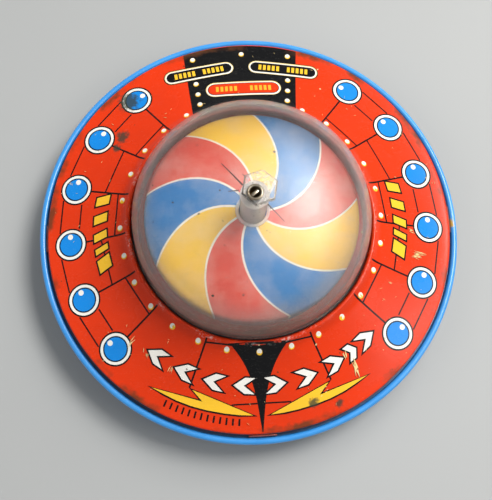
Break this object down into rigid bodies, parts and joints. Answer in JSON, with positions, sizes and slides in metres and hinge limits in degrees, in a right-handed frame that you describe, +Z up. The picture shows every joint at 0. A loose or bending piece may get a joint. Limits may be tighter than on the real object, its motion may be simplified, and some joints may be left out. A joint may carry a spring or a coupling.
{
  "type": "spinning top",
  "caption": "Flying-saucer toy top: printed tin cover, blue rim, clear dome over a swirl disc, spun on a flat foot by a twisted pump rod.",
  "frame": {"origin": "on the floor under the spin axis, at the bottom centre of the foot pad", "axes": "+Z up along the spin axis, -Y towards the point of the black spike printed on the cover, +X to its right as seen from above with the spike at the bottom"},
  "size_m": [0.15, 0.15, 0.059],
  "materials": {
    "pan_blue": "glossy blue lacquer, lightly worn",
    "cover_print": "red-orange printed tin with worn print",
    "dome_clear": "clear styrene, lightly scratched and yellowed",
    "gasket_black": "matt black",
    "swirl_print": "tin printed with a yellow, red and blue swirl",
    "tube_milky": "milky natural plastic",
    "rusty_steel": "dull plated steel, tarnished",
    "aged_brass": "turned brass",
    "fibre_brown": "brown vulcanised fibre",
    "foot_blue": "moulded blue plastic",
    "pad_black": "matt black, dusty"
  },
  "bodies": {
    "foot": {"foot_cup": "foot_blue", "foot_pad": "pad_black", "pivot_post": "rusty_steel", "post_washer": "rusty_steel", "thrust_washer": "fibre_brown", "retaining_clip": "rusty_steel"},
    "saucer": {"lower_pan": "pan_blue", "printed_cover": "cover_print", "clear_dome": "dome_clear", "dome_gasket": "gasket_black", "swirl_dome": "swirl_print", "swirl_hub_collar": "tube_milky", "guide_tube": "tube_milky", "top_eyelet": "rusty_steel", "clutch_washer": "tube_milky", "clutch_cup": "tube_milky", "clutch_plate": "rusty_steel", "bearing_bush": "aged_brass"},
    "pump_rod": {"twisted_rod": "rusty_steel"},
    "nut": {"drive_nut": "aged_brass"}
  },
  "joints": [
    {"name": "saucer_spin", "type": "hinge", "parent": "foot", "child": "saucer", "pos_m": [0, 0, 0.014], "axis": [0, 0, 1], "continuous": true},
    {"name": "rod_pump", "type": "slide", "parent": "foot", "child": "pump_rod", "axis": [0, 0, 1], "range_m": [0, 0.04]},
    {"name": "nut_spin", "type": "hinge", "parent": "foot", "child": "nut", "pos_m": [0, 0, 0.05285], "axis": [0, 0, 1], "range_deg": [-361, 0]}
  ],
  "couplings": [
    {"joint": "nut_spin", "follows": "rod_pump", "rad_per_m": -157.08}
  ]
}
